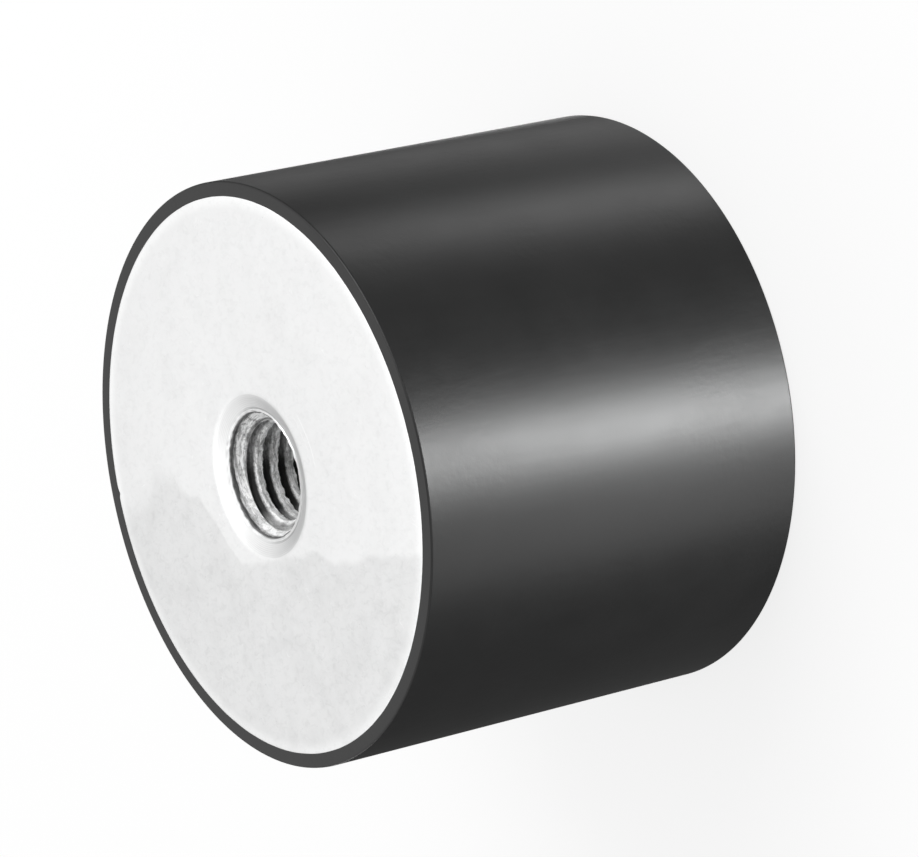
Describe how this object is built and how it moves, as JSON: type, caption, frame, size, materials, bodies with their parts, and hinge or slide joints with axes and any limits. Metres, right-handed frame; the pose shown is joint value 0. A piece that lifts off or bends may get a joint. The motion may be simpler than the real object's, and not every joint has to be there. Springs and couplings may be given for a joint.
{
  "type": "bobbin vibration mount",
  "caption": "Cylindrical rubber vibration mount with a steel plate bonded flush into each end and a blind threaded bush in the centre of each plate.",
  "frame": {"origin": "centre of the lower plate's face, which is the middle of the bottom of the bounding box", "axes": "+Z along the mount's axis, from the lower plate's face to the upper plate's face; the part is a body of revolution, so X and Y are free"},
  "size_m": [0.04, 0.04, 0.03],
  "materials": {
    "rubber": "satin moulded black",
    "plate_steel": "bright zinc plate on rolled sheet",
    "bush_steel": "bright zinc plate on turned steel"
  },
  "bodies": {
    "root": {"rubber_body": "rubber", "upper_plate": "plate_steel", "lower_plate": "plate_steel", "upper_bush": "bush_steel", "lower_bush": "bush_steel"}
  },
  "joints": []
}
